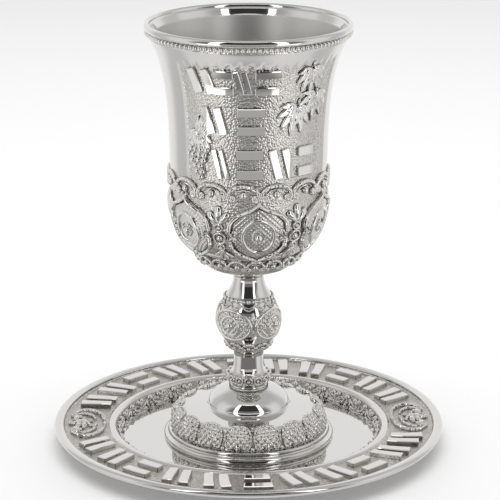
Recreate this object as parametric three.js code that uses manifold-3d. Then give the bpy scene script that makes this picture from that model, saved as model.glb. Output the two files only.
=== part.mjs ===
// A wine cup with a turned bowl, baluster stem and domed foot, standing in the well of its saucer.
// Millimetres, +Z up. The origin is the middle of the saucer's underside and the front faces -Y.
import * as THREE from 'three';
import Module from 'manifold-3d';
import { mergeVertices } from 'three/addons/utils/BufferGeometryUtils.js';

const wasm = await Module();
wasm.setup();

// Driving dimensions of the cup, heights measured from the plane it stands on
const CUP_HEIGHT = 143;
const LIP_RADIUS = 34.2;
const WAIST_RADIUS = 26.1;
const WAIST_HEIGHT = 98;
const WALL = 1.3;
const BOWL_BOTTOM = 57.3;
const STEM_TOP = 57;
const STEM_BOTTOM = 18;
const STEM_RADIUS = 5.2;
const KNOP_RADIUS = 10.3;
const KNOP_HEIGHT = 41.5;
const FOOT_RADIUS = 28.9;
const FOOT_TOP = 17.7;
const SHOULDER_RADIUS = 22.6;
const DOME_RADIUS = 13.9;

// Driving dimensions of the saucer
const SAUCER_RADIUS = 66.2;
const SAUCER_HEIGHT = 7.3;
const SAUCER_METAL = 1.2;
const WELL_RADIUS = 45.4;
const WELL_EDGE = 6.2;
const RIM_INNER = 47.8;
const RIM_OUTER = 62.8;
const RIM_MIDDLE = (RIM_INNER + RIM_OUTER) / 2;

// The cup rests on the saucer's floor with a hair of clearance
const REST_GAP = 0.3;
const CUP_BASE = SAUCER_METAL + REST_GAP;

// Facets round each turned body, and how deep the ornament is rooted in it
const BOWL_SIDES = 32;
const STEM_SIDES = 16;
const FOOT_SIDES = 32;
const SAUCER_SIDES = 44;
const ROOT = 0.45;

// Counts and directions of the repeated ornament, directions in degrees from the front towards +X
const ARCHES = 15;
const FIRST_ARCH = -3.6;
const MEDALLIONS = 6;
const FIRST_MEDALLION = 7.5;
const KNOP_MEDALLIONS = 4;
const FIRST_KNOP_MEDALLION = -36;
const FOOT_LOBES = 16;
const FIRST_FOOT_LOBE = -8.15;
const ROSETTE_DIRECTIONS = [-87, 93];
const STROKE_PLACES = 11;

const SILVER = { color: 0xc9c6c0, roughness: 0.22, metalness: 1 };

const point = (radius, height) => new THREE.Vector2(radius, height);
const degrees = THREE.MathUtils.degToRad;

// A smooth run of outline through a few points
function curve(points, steps) {
  return new THREE.SplineCurve(points.map(([radius, height]) => point(radius, height))).getPoints(steps);
}

// Part of an ellipse in the outline plane, angles in degrees from straight outwards
function arc(radius, height, width, rise, from, to, steps) {
  const ellipse = new THREE.EllipseCurve(radius, height, width, rise, degrees(from), degrees(to));
  return ellipse.getPoints(steps);
}

// Spins an outline that starts and ends on the axis into a closed body standing along +Z
function turned(outline, sides, base) {
  const body = new THREE.LatheGeometry(outline, sides);
  body.rotateX(Math.PI / 2);
  body.translate(0, 0, base);
  return toSolid(body);
}

function toSolid(geometry) {
  geometry.deleteAttribute('normal');
  geometry.deleteAttribute('uv');
  const merged = mergeVertices(geometry, 1e-4);
  return new wasm.Manifold(new wasm.Mesh({
    numProp: 3,
    vertProperties: Float32Array.from(merged.attributes.position.array),
    triVerts: Uint32Array.from(merged.index.array),
  }));
}

function toMesh(name, solid) {
  const { vertProperties, triVerts } = solid.getMesh();
  const geometry = new THREE.BufferGeometry();
  geometry.setAttribute('position', new THREE.BufferAttribute(vertProperties, 3));
  geometry.setIndex(new THREE.BufferAttribute(triVerts, 1));
  geometry.computeVertexNormals();
  const mesh = new THREE.Mesh(geometry, new THREE.MeshStandardMaterial(SILVER));
  mesh.name = name;
  return mesh;
}

// The visible face of a turned body, met by the distance walked along its outline with the body on the left
class Face {
  constructor(outline) {
    this.outline = outline;
    this.starts = [0];
    for (let i = 1; i < outline.length; i += 1) {
      this.starts.push(this.starts[i - 1] + outline[i].distanceTo(outline[i - 1]));
    }
  }

  // Distance along the outline at which one coordinate, 'x' or 'y', first crosses a value
  alongWhere(axis, value) {
    const i = this.outline.findIndex((end, n) => {
      const start = this.outline[Math.max(n - 1, 0)];
      return n > 0 && (start[axis] - value) * (end[axis] - value) <= 0 && start[axis] !== end[axis];
    });
    const [start, end] = [this.outline[i - 1], this.outline[i]];
    const share = (value - start[axis]) / (end[axis] - start[axis]);
    return this.starts[i - 1] + share * (this.starts[i] - this.starts[i - 1]);
  }

  at(along) {
    let i = 1;
    while (i < this.outline.length - 1 && this.starts[i] < along) {
      i += 1;
    }
    const [start, end] = [this.outline[i - 1], this.outline[i]];
    const share = (along - this.starts[i - 1]) / (this.starts[i] - this.starts[i - 1]);
    const ahead = end.clone().sub(start).normalize();
    return { place: start.clone().lerp(end, share), outward: point(ahead.y, -ahead.x) };
  }
}

// Bends ornament drawn flat (x across, y up, z out) onto a face, round a direction and a distance along it
function wrap(geometry, face, direction, along, base) {
  const positions = geometry.attributes.position;
  const reach = face.at(along).place.x;
  for (let i = 0; i < positions.count; i += 1) {
    const { place, outward } = face.at(along + positions.getY(i));
    const turn = degrees(direction) + positions.getX(i) / reach;
    const radius = place.x + outward.x * positions.getZ(i);
    const height = place.y + outward.y * positions.getZ(i) + base;
    positions.setXYZ(i, radius * Math.sin(turn), -radius * Math.cos(turn), height);
  }
  return toSolid(geometry);
}

// Joins a body and all the ornament that stands on it
function joined(body, ornament) {
  return ornament.reduce((whole, piece) => whole.add(piece), body);
}

// A three-sided ridge that follows flat points
function ridge(points, width, height, steps) {
  const section = new THREE.Shape([point(ROOT, -width / 2), point(-height, 0), point(ROOT, width / 2)]);
  const path = new THREE.CatmullRomCurve3(points.map(([x, y]) => new THREE.Vector3(x, y, 0)));
  return new THREE.ExtrudeGeometry(section, { steps, bevelEnabled: false, extrudePath: path });
}

const mirrored = (points) => points.map(([x, y]) => [-x, y]);

// A three-sided ring lying on the face
function ring(width, length, band, height) {
  const geometry = new THREE.TorusGeometry(1, 0.5, 3, 8);
  geometry.scale((width - band) / 2, (length - band) / 2, height + ROOT);
  geometry.translate(0, 0, (height - ROOT) / 2);
  return geometry;
}

// A bead, petal or leaf lobe: a blunt pyramid on an oval foot, turned by an angle in degrees
function boss(across, up, width, length, height, sides, lean = 0) {
  const geometry = new THREE.CylinderGeometry(0.2, 0.5, height + ROOT, sides);
  geometry.rotateX(Math.PI / 2);
  geometry.scale(width, length, 1);
  geometry.translate(0, 0, (height - ROOT) / 2);
  geometry.rotateZ(degrees(lean));
  geometry.translate(across, up, 0);
  return geometry;
}

// A flat-topped bar, leaning by an angle in degrees
function bar(across, up, width, length, height, lean) {
  const geometry = new THREE.BoxGeometry(width, length, height + ROOT);
  geometry.translate(0, 0, (height - ROOT) / 2);
  geometry.rotateZ(degrees(lean));
  geometry.translate(across, up, 0);
  return geometry;
}

// One place of the inscription, filled with plain bars: slanted ones side by side or level ones in a stack
function strokes(width, length, height, stacked) {
  const thick = 0.3;
  if (stacked) {
    return [-0.36, 0.36].map((share) => bar(0, share * length, width, thick * length, height, 0));
  }
  return [-0.33, 0.33].map((share) => bar(share * width, 0, thick * width, length, height, -14));
}

// A vine leaf: a fan of lobes round its stalk
function leaf(size) {
  const fan = [-84, 0, 84];
  return fan.map((lean) => {
    const reach = size * (lean === 0 ? 0.34 : 0.27);
    const [across, up] = [reach * Math.sin(degrees(lean)), -reach * Math.cos(degrees(lean))];
    return boss(across, up, size * 0.42, reach * 2.2, 0.7, 4, lean);
  });
}

// Outlines of the bowl
function bowlOutside() {
  return [
    ...curve([[STEM_RADIUS, BOWL_BOTTOM], [9.3, 59], [15.2, 61.5], [17.9, 64.6], [18.7, 67]], 4),
    ...curve([[19.9, 68.2], [22.9, 72], [24.8, 77], [25.8, 83], [WAIST_RADIUS, 90]], 4),
    ...curve([[WAIST_RADIUS, WAIST_HEIGHT], [26.5, 110], [27.6, 122], [29.9, 132], [32.9, 138.4]], 5),
    point(33.9, 139),
    point(33.9, 140.7),
  ];
}

// The rolled lip above the bead moulding
function bowlLip() {
  const [width, rise] = [0.95, 1.2];
  return arc(LIP_RADIUS - width, CUP_HEIGHT - rise, width, rise, 0, 180, 4);
}

function bowlInside() {
  return [
    point(31, 139.4),
    ...curve([[29.9 - WALL, 132], [27 - WALL, 116], [WAIST_RADIUS - WALL, WAIST_HEIGHT]], 2),
    ...curve([[25.8 - WALL, 83], [22.9 - WALL, 73.4], [17.4, 65.6], [8.5, 60.8]], 3),
    point(0, 59.4),
  ];
}

// The arch band: crescents shoulder to shoulder
function archBand(face) {
  const half = (Math.PI * WAIST_RADIUS) / ARCHES;
  const along = face.alongWhere('y', 92.3);
  const [side, end] = [half * 0.93, half * 0.78];
  const crescent = [[-end, -2.1], [-side, -0.2], [0, 2.2], [side, -0.2], [end, -2.1]];
  const pieces = [];
  for (let i = 0; i < ARCHES; i += 1) {
    const direction = FIRST_ARCH + (i * 360) / ARCHES;
    pieces.push(wrap(ridge(crescent, 1.5, 0.8, 4), face, direction, along, CUP_BASE));
  }
  return pieces;
}

// An onion-shaped medallion: two upper and two lower scrolls round a boss
function medallion(face, direction) {
  const along = face.alongWhere('y', 77);
  const upper = [[0, 11.2], [-8.2, 6.4], [-8.8, 0.8]];
  const lower = [[-8.6, -0.8], [-8.2, -6], [0, -11]];
  const flat = [
    ...[upper, mirrored(upper), lower, mirrored(lower)].map((points) => ridge(points, 1.4, 0.7, 2)),
    boss(0, 0, 12, 13, 0.8, 8),
  ];
  return flat.map((piece) => wrap(piece, face, direction, along, CUP_BASE));
}

// A drop between two medallions: palmette, bead and tassel
function drop(face, direction) {
  const along = face.alongWhere('y', 76.2);
  const flat = [
    boss(0, 8, 4.6, 5, 0.7, 4),
    boss(0, 0, 4.4, 4.4, 0.9, 5),
    boss(0, -7.6, 3.4, 5, 0.6, 4),
  ];
  return flat.map((piece) => wrap(piece, face, direction, along, CUP_BASE));
}

// The front panel: three rows of strokes, three vine leaves at one side, a leaf and grapes at the other
function vinePanel(face) {
  const rows = [
    {
      height: 128.6,
      length: 8.4,
      places: [[-31, 7.6, false], [-16, 6, true], [-4, 4, false], [12, 7.4, true]],
    },
    {
      height: 115.6,
      length: 8.8,
      places: [[-24, 6.4, false], [2, 8.6, true]],
    },
    {
      height: 101.3,
      length: 9.4,
      places: [[-20, 3.6, false], [1, 8.4, true], [24, 6.6, false], [44, 6, true]],
    },
  ];
  const leaves = [[42, 130.4, 10.5], [52, 121.4, 10.5], [33, 118, 11], [-41, 112.8, 10]];
  const pieces = [];
  for (const { height, length, places } of rows) {
    const along = face.alongWhere('y', height);
    for (const [direction, width, stacked] of places) {
      const flat = strokes(width, length, 0.85, stacked);
      pieces.push(...flat.map((piece) => wrap(piece, face, direction, along, CUP_BASE)));
    }
  }
  for (const [direction, height, size] of leaves) {
    const along = face.alongWhere('y', height);
    pieces.push(...leaf(size).map((lobe) => wrap(lobe, face, direction, along, CUP_BASE)));
  }
  pieces.push(...grapes(face));
  return pieces;
}

// A hanging bunch that narrows to one grape
function grapes(face) {
  const along = face.alongWhere('y', 105);
  const pitch = 3;
  const pieces = [];
  for (let row = 0; row < 3; row += 1) {
    const count = 3 - row;
    for (let i = 0; i < count; i += 1) {
      const across = (i - (count - 1) / 2) * pitch;
      pieces.push(wrap(boss(across, -row * pitch, 3, 3, 0.9, 4), face, -38, along, CUP_BASE));
    }
  }
  return pieces;
}

function bowl() {
  const outside = bowlOutside();
  const outline = [point(0, BOWL_BOTTOM), ...outside, ...bowlLip(), ...bowlInside()];
  const body = turned(outline, BOWL_SIDES, CUP_BASE);
  const face = new Face(outside);
  const ornament = [...archBand(face), ...vinePanel(face)];
  for (let i = 0; i < MEDALLIONS; i += 1) {
    const direction = FIRST_MEDALLION + (i * 360) / MEDALLIONS;
    ornament.push(...medallion(face, direction), ...drop(face, direction + 180 / MEDALLIONS));
  }
  return toMesh('bowl', joined(body, ornament));
}

// Outline of the stem from its seat on the dome up to the bowl
function stemOutside() {
  return [
    ...curve([[6.4, STEM_BOTTOM], [7.5, 20.4], [7.3, 22.2], [5.5, 23.6]], 3),
    ...curve([[5.2, 26.4], [5.4, 30.6], [7.8, 32.8]], 2),
    ...curve([[8, 33.9], [9.8, 37.6], [KNOP_RADIUS, KNOP_HEIGHT], [9.6, 45.7], [8.1, 49.2]], 5),
    point(8.3, 49.7),
    ...curve([[7.2, 51.2], [5.6, 54], [STEM_RADIUS, STEM_TOP]], 3),
  ];
}

function stem() {
  const outside = stemOutside();
  const body = turned([point(0, STEM_BOTTOM), ...outside, point(0, STEM_TOP)], STEM_SIDES, CUP_BASE);
  const face = new Face(outside);
  const along = face.alongWhere('y', KNOP_HEIGHT);
  const ornament = [];
  for (let i = 0; i < KNOP_MEDALLIONS; i += 1) {
    const direction = FIRST_KNOP_MEDALLION + (i * 360) / KNOP_MEDALLIONS;
    ornament.push(wrap(boss(0, 0, 14.4, 10.4, 0.5, 8), face, direction, along, CUP_BASE));
  }
  return toMesh('stem', joined(body, ornament));
}

// Outlines of the foot: dome, shoulder, ornament band and two base rings above an open underside
function footOutside() {
  const domeFoot = 11.2;
  const seatAngle = 58;
  const domeRise = (FOOT_TOP - domeFoot) / Math.sin(degrees(seatAngle));
  return [
    point(FOOT_RADIUS - 0.5, 0),
    ...arc(FOOT_RADIUS - 0.6, 0.95, 0.6, 0.75, 0, 90, 1),
    ...arc(FOOT_RADIUS - 2.1, 2.45, 0.7, 0.65, 0, 90, 1),
    ...arc(SHOULDER_RADIUS, 3.6, 3.1, 6.6, 5, 90, 4),
    point(DOME_RADIUS, domeFoot),
    ...arc(0, domeFoot, DOME_RADIUS, domeRise, 15, seatAngle, 3),
  ];
}

function footInside() {
  return [
    point(0, 16.2),
    point(6.4, 15.9),
    ...curve([[10.2, 14], [12.2, 10.2]], 1),
    point(SHOULDER_RADIUS - WALL, 8.8),
    point(24.2, 5.6),
    point(24.4, 1.6),
    point(27, 0),
  ];
}

function footBand(face) {
  const along = face.alongWhere('y', 6.2);
  const pieces = [];
  for (let i = 0; i < FOOT_LOBES; i += 1) {
    const direction = FIRST_FOOT_LOBE + (i * 360) / FOOT_LOBES;
    pieces.push(wrap(boss(0, 0.4, 10.4, 5.6, 0.5, 4), face, direction, along, CUP_BASE));
  }
  return pieces;
}

function foot() {
  const outside = footOutside();
  const body = turned([...footInside(), ...outside, point(0, FOOT_TOP)], FOOT_SIDES, CUP_BASE);
  return toMesh('foot', joined(body, footBand(new Face(outside))));
}

// The saucer's upper face, walked inwards from the lip to the floor of the well
function saucerTop() {
  return [
    ...arc(SAUCER_RADIUS - 1.5, SAUCER_HEIGHT - 0.9, 1.5, 0.9, 0, 180, 4),
    point(RIM_OUTER, 6.1),
    point(RIM_INNER, 5.7),
    point(RIM_INNER - 0.6, WELL_EDGE),
    point(WELL_RADIUS, WELL_EDGE),
    point(44.6, 4.6),
    point(43.8, 1.9),
    point(42.9, SAUCER_METAL),
  ];
}

function saucerUnderside() {
  return [
    point(0, 0),
    point(44.3, 0),
    point(45.3, 0.7),
    point(46.6, 4.4),
    point(RIM_OUTER + 0.6, 4.9),
    point(SAUCER_RADIUS - 0.4, 5.5),
  ];
}

// The rim's inscription, front and back, as groups of bars between the two rosettes
function rimStrokes(face) {
  const along = face.alongWhere('x', RIM_MIDDLE);
  const pieces = [];
  for (const rosette of ROSETTE_DIRECTIONS) {
    for (let i = 1; i <= STROKE_PLACES; i += 1) {
      const direction = rosette + 8 + (i * 164) / (STROKE_PLACES + 1);
      const flat = strokes(8.2, 10, 0.9, i % 3 === 1);
      pieces.push(...flat.map((piece) => wrap(piece, face, direction, along, 0)));
    }
  }
  return pieces;
}

function rimRosettes(face) {
  const along = face.alongWhere('x', RIM_MIDDLE);
  const pieces = [];
  for (const direction of ROSETTE_DIRECTIONS) {
    pieces.push(wrap(ring(20, 13, 1.6, 0.7), face, direction, along, 0));
    pieces.push(wrap(boss(0, 0, 9, 6, 0.8, 6), face, direction, along, 0));
  }
  return pieces;
}

function saucer() {
  const top = saucerTop();
  const body = turned([...saucerUnderside(), ...top, point(0, SAUCER_METAL)], SAUCER_SIDES, 0);
  const face = new Face(top);
  return toMesh('saucer', joined(body, [...rimStrokes(face), ...rimRosettes(face)]));
}

const kiddushCup = new THREE.Group();
kiddushCup.add(bowl(), stem(), foot(), saucer());

export default kiddushCup;
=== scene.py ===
import math

import bmesh
import bpy
import numpy as np
from mathutils import Matrix, Vector


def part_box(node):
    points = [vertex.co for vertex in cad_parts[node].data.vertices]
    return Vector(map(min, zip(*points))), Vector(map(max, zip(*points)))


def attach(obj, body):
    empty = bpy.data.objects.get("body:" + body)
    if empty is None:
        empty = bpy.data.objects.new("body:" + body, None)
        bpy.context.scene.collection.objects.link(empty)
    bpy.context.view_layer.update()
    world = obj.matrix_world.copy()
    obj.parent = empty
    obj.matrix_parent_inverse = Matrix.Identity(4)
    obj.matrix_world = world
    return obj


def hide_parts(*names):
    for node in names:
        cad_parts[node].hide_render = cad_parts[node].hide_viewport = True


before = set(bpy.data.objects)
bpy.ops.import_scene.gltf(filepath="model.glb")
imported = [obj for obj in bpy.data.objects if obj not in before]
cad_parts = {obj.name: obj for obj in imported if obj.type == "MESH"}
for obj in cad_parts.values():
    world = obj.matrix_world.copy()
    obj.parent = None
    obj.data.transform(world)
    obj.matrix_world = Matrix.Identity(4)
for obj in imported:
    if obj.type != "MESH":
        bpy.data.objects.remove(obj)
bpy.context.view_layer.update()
scene = bpy.context.scene
mm = 0.001
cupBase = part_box("foot")[0].z / mm  # height of the plane the cup stands on
print("frame loaded, the cup stands at", round(cupBase, 2), "mm")


# Outlines are lists of (radius, height) points in mm.
def smoothRun(points, steps):  # a smooth run through a few points, both ends kept
    padded = [points[0], *points, points[-1]]
    run = []
    for i in range(len(points) - 1):
        a, b, c, d = (Vector(p) for p in padded[i:i + 4])
        for k in range(steps):
            t = k / steps
            leave, arrive = (c - a) / 2, (d - b) / 2
            run.append(b * (2 * t**3 - 3 * t**2 + 1) + leave * (t**3 - 2 * t**2 + t)
                       + c * (3 * t**2 - 2 * t**3) + arrive * (t**3 - t**2))
    return [tuple(p) for p in run] + [tuple(points[-1])]


def arcRun(radius, height, width, rise, start, end, steps):  # part of an ellipse, in degrees
    angles = [math.radians(start + (end - start) * k / steps) for k in range(steps + 1)]
    return [(radius + width * math.cos(a), height + rise * math.sin(a)) for a in angles]


def straightRun(start, end, steps):
    return [tuple(Vector(start).lerp(Vector(end), k / steps)) for k in range(steps + 1)]


def withoutRepeats(outline):
    kept = outline[:1]
    for place, before in zip(outline[1:], outline):
        if (Vector(place) - Vector(before)).length > 1e-4:
            kept.append(place)
    return kept


def faceOf(outline, base):  # the distance walked along an outline, its points and its outward directions
    points = np.array(withoutRepeats(outline))
    ahead = np.gradient(points, axis=0)
    ahead /= np.linalg.norm(ahead, axis=1)[:, None]
    steps = np.linalg.norm(np.diff(points, axis=0), axis=1)
    return {"walk": np.concatenate([[0], np.cumsum(steps)]), "radius": points[:, 0],
            "height": points[:, 1], "outR": ahead[:, 1], "outZ": -ahead[:, 0], "base": base}


def walkAtHeight(face, height):
    return float(np.interp(height, face["height"], face["walk"]))


def walkAtRadius(face, radius):  # on a face that is walked inwards
    return float(np.interp(-radius, -face["radius"], face["walk"]))


# Mesh helpers. Ornament is modelled flat, in mm: x across, y up, z out of the metal.
def coordsOf(mesh):
    coords = np.empty(len(mesh.vertices) * 3)
    mesh.vertices.foreach_get("co", coords)
    return coords.reshape(-1, 3)


def storeValues(mesh, name, values):  # one number a vertex, read by the silver
    layer = mesh.attributes.get(name) or mesh.attributes.new(name, "FLOAT", "POINT")
    layer.data.foreach_set("value", np.asarray(values, dtype=np.float32))


def flatMesh(name, build):  # a builder's flat ornament, with its height above the metal kept as "lift"
    bm = bmesh.new()
    build(bm)
    bmesh.ops.recalc_face_normals(bm, faces=bm.faces)
    mesh = bpy.data.meshes.new(name)
    bm.to_mesh(mesh)
    bm.free()
    storeValues(mesh, "lift", coordsOf(mesh)[:, 2])
    return mesh


def bent(face, flat, direction, along):  # a copy of flat ornament bent onto a turned face
    mesh = flat.copy()
    coords = coordsOf(mesh)
    walk = along + coords[:, 1]
    reach = float(np.interp(along, face["walk"], face["radius"]))
    turn = math.radians(direction) + coords[:, 0] / reach
    radius, height, outR, outZ = (np.interp(walk, face["walk"], face[key])
                                  for key in ("radius", "height", "outR", "outZ"))
    radius = radius + outR * coords[:, 2]
    height = height + outZ * coords[:, 2] + face["base"]
    placed = np.stack([radius * np.sin(turn), -radius * np.cos(turn), height], axis=1) * mm
    mesh.vertices.foreach_set("co", placed.ravel())
    return mesh


def allRound(face, flat, first, count, along):
    return [bent(face, flat, first + i * 360 / count, along) for i in range(count)]


def finishPiece(name, mesh, material, replaces=None):
    piece = bpy.data.objects.new(name, mesh)
    scene.collection.objects.link(piece)
    mesh.materials.clear()
    mesh.materials.append(material)
    mesh.polygons.foreach_set("use_smooth", [True] * len(mesh.polygons))
    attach(piece, "root")
    if replaces:
        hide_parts(replaces)
    return piece


def joinedPiece(name, meshes, material, crisp=False):
    bm = bmesh.new()
    for part in meshes:
        bm.from_mesh(part)
        bpy.data.meshes.remove(part)
    if crisp:  # bars keep flat faces and hard edges
        for edge in bm.edges:
            edge.smooth = edge.calc_face_angle(0) < math.radians(20)
    mesh = bpy.data.meshes.new(name)
    bm.to_mesh(mesh)
    bm.free()
    return finishPiece(name, mesh, material)


def turnedShell(name, outline, base, around, ground, material):
    # ground(direction, height, radius) gives the share of chased ground, its depth and the share that is
    # brushed and painted darker as painted shade
    points = withoutRepeats(outline)
    bm = bmesh.new()
    spine = [bm.verts.new((radius * mm, 0, (height + base) * mm)) for radius, height in points]
    edges = [bm.edges.new(pair) for pair in zip(spine, spine[1:])]
    bmesh.ops.spin(bm, geom=spine + edges, cent=(0, 0, 0), axis=(0, 0, 1), angle=math.tau,
                   steps=around, use_merge=True)
    bmesh.ops.remove_doubles(bm, verts=bm.verts, dist=1e-7)
    bmesh.ops.recalc_face_normals(bm, faces=bm.faces)
    mesh = bpy.data.meshes.new(name)
    bm.to_mesh(mesh)
    bm.free()
    coords = coordsOf(mesh)
    direction = np.degrees(np.arctan2(coords[:, 0], -coords[:, 1]))
    radius = np.hypot(coords[:, 0], coords[:, 1]) / mm
    height = coords[:, 2] / mm - base
    share, depth, inside = ground(direction, height, radius)
    normals = np.empty(len(mesh.vertices) * 3)
    mesh.vertices.foreach_get("normal", normals)
    coords -= normals.reshape(-1, 3) * (depth * share)[:, None] * mm
    mesh.vertices.foreach_set("co", coords.ravel())
    storeValues(mesh, "ground", share)
    storeValues(mesh, "inside", inside * np.ones(len(share)))
    storeValues(mesh, "lift", np.ones(len(share)))
    return finishPiece(name, mesh, material, replaces=name)


def softStep(values, edge, width):  # 0 below the edge, 1 above it
    return np.clip((values - edge) / width + 0.5, 0, 1)


def within(values, low, high, width):
    return softStep(values, low, width) * (1 - softStep(values, high, width))


# The wires, beads, leaves and bars that the ornament is put together from.
def wire(bm, path, width, rise, taper=0.5, root=0.5, sides=8):
    # a half-round wire laid along flat points, thinner towards its ends
    side = bm.verts.layers.int.get("side") or bm.verts.layers.int.new("side")
    made = bmesh.ops.create_circle(bm, cap_ends=True, segments=sides, radius=1)
    ring = made["verts"]
    for i, vert in enumerate(ring):
        vert[side] = i
    cap = ring[0].link_faces[0]
    points = [Vector((x, y)) for x, y in path]
    for k, place in enumerate(points):
        ahead = (points[min(k + 1, len(points) - 1)] - points[max(k - 1, 0)]).normalized()
        swell = 1 - taper * abs(2 * k / (len(points) - 1) - 1) ** 3
        if k > 0:
            pushed = bmesh.ops.extrude_face_region(bm, geom=[cap])["geom"]
            ring = [item for item in pushed if isinstance(item, bmesh.types.BMVert)]
            cap = next(item for item in pushed if isinstance(item, bmesh.types.BMFace))
        for vert in ring:
            turn = math.tau * vert[side] / sides
            across = math.cos(turn) * width / 2 * swell
            out = math.sin(turn) * (rise * swell if math.sin(turn) > 0 else root)
            vert.co = (place.x - ahead.y * across, place.y + ahead.x * across, out)


def ringWire(bm, x, y, radius, band, rise, steps, stretch=1.0, root=0.4):
    # a closed round or oval wire, its root kept within the wall
    made = bmesh.ops.create_circle(bm, cap_ends=False, segments=7, radius=1)
    upright = Matrix.Translation((radius, 0, 0)) @ Matrix.Rotation(math.pi / 2, 4, "X")
    bmesh.ops.transform(bm, verts=made["verts"], matrix=upright @ Matrix.Diagonal((band / 2, rise, 1, 1)))
    edges = list({edge for vert in made["verts"] for edge in vert.link_edges})
    before = set(bm.verts) - set(made["verts"])
    bmesh.ops.spin(bm, geom=made["verts"] + edges, cent=(0, 0, 0), axis=(0, 0, 1),
                   angle=math.tau, steps=steps, use_merge=True)
    ring = [vert for vert in bm.verts if vert not in before]
    for vert in ring:
        vert.co.z = max(vert.co.z, -root)
    place = Matrix.Translation((x, y, 0))
    bmesh.ops.transform(bm, verts=ring, matrix=place @ Matrix.Diagonal((1, stretch, 1, 1)))


def bead(bm, x, y, width, length, rise, around=10, rows=7, root=0.5):
    size = Matrix.Diagonal((width / 2, length / 2, rise, 1))
    made = bmesh.ops.create_uvsphere(bm, u_segments=around, v_segments=rows, radius=1,
                                     matrix=Matrix.Translation((x, y, 0)) @ size)
    for vert in made["verts"]:
        vert.co.z = max(vert.co.z, -root)


def petal(bm, x, y, lean, width, length, rise, crease, tip=0.6, bend=0.0, around=14, root=0.4):
    # a creased leaf lobe or petal that grows from (x, y), leaning in degrees from upright;
    # tip makes its end pointed, or broad where tip is below 0
    made = bmesh.ops.create_uvsphere(bm, u_segments=around, v_segments=8, radius=1,
                                     matrix=Matrix.Rotation(math.pi / 2, 4, "X"))
    for vert in made["verts"]:
        u, v, w = vert.co
        v = -v
        narrow = (1 - tip * max(v, 0) ** 2) * (1 - 0.35 * max(-v, 0))
        groove = crease * math.exp(-(u / 0.25) ** 2) if w > 0 else 0
        vert.co = (u * width / 2 * narrow + bend * (v + 1) ** 2 / 4, (v + 1) * length / 2,
                   (w - groove * w) * (rise if w > 0 else root))
    turn = Matrix.Translation((x, y, 0)) @ Matrix.Rotation(-math.radians(lean), 4, "Z")
    bmesh.ops.transform(bm, verts=made["verts"], matrix=turn)


def bar(bm, x, y, width, length, rise, edge, lean=0.0, root=0.5, facet=0.8):
    # a flat-topped bar with broken edges, cut into facets so that it can bend
    before = set(bm.verts)
    made = bmesh.ops.create_cube(bm, size=1, matrix=Matrix.Diagonal((width, length, rise + root, 1)))
    lines = {line for vert in made["verts"] for line in vert.link_edges}
    upper = [line for line in lines if any(vert.co.z > 0 for vert in line.verts)]
    bmesh.ops.bevel(bm, geom=upper, affect="EDGES", offset=edge, segments=1, profile=0.5, material=-1)
    for normal, size in ((Vector((1, 0, 0)), width), (Vector((0, 1, 0)), length)):
        cuts = int(size // facet)
        for k in range(cuts):
            own = [vert for vert in bm.verts if vert not in before]
            near = {face for vert in own for face in vert.link_faces}
            near |= {line for vert in own for line in vert.link_edges}
            bmesh.ops.bisect_plane(bm, geom=own + list(near), dist=1e-5,
                                   plane_co=normal * size * ((k + 0.5) / cuts - 0.5), plane_no=normal)
    own = [vert for vert in bm.verts if vert not in before]
    turn = Matrix.Rotation(math.radians(lean), 4, "Z")
    bmesh.ops.transform(bm, verts=own, matrix=Matrix.Translation((x, y, (rise - root) / 2)) @ turn)


def cushion(bm, edge, crown, pattern, fine, margin=0.5, root=0.3):
    # a low crowned pad with a pattern raised on it, made of fine faces, that sinks to its root at the margin;
    # edge is a list of (half width, y) from bottom to top
    bottom, top = edge[0][1], edge[-1][1]
    widest = max(half for half, y in edge)
    across, along = round(2 * widest / fine), round((top - bottom) / fine)
    made = bmesh.ops.create_grid(bm, x_segments=across, y_segments=along, size=1)
    heights, halves = [y for half, y in edge], [half for half, y in edge]
    for vert in made["verts"]:
        y = bottom + (vert.co.y + 1) / 2 * (top - bottom)
        half = float(np.interp(y, heights, halves))
        x = vert.co.x * half
        rim = min(1, (half - abs(x)) / margin, (y - bottom) / margin, (top - y) / margin)
        dome = crown * (1 - (x / widest) ** 2) * (1 - (2 * (y - bottom) / (top - bottom) - 1) ** 2)
        vert.co = (x, y, (dome + pattern(x, y)) * rim - root * (1 - rim))


def diamonds(pitch, rise):  # fine crossing ridges
    slant = 0.71 * pitch

    def pattern(x, y):
        ridges = [abs((x + side * y) / pitch % 1 - 0.5) * slant for side in (-1, 1)]
        return rise * max(math.exp(-(0.5 * slant - ridge) ** 2 / 0.05) for ridge in ridges)
    return pattern


def hobnails(pitch, rise):  # rows of little round heads
    def pattern(x, y):
        rows = math.sin(math.pi * (x + y) / pitch) * math.sin(math.pi * (x - y) / pitch)
        return rise * abs(rows) ** 0.8
    return pattern


def mirrored(path):
    return [(-x, y) for x, y in path]


def bothSides(path):  # a path that ends on the middle line, carried on over the other side
    return path + mirrored(path)[-2::-1]


def curl(x, y, start, end, wide, tight, steps=14):  # part of a spiral from wide to tight, in degrees
    points = []
    for k in range(steps + 1):
        t = k / steps
        turn = math.radians(start + (end - start) * t)
        reach = wide + (tight - wide) * t
        points.append((x + reach * math.cos(turn), y + reach * math.sin(turn)))
    return points
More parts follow.
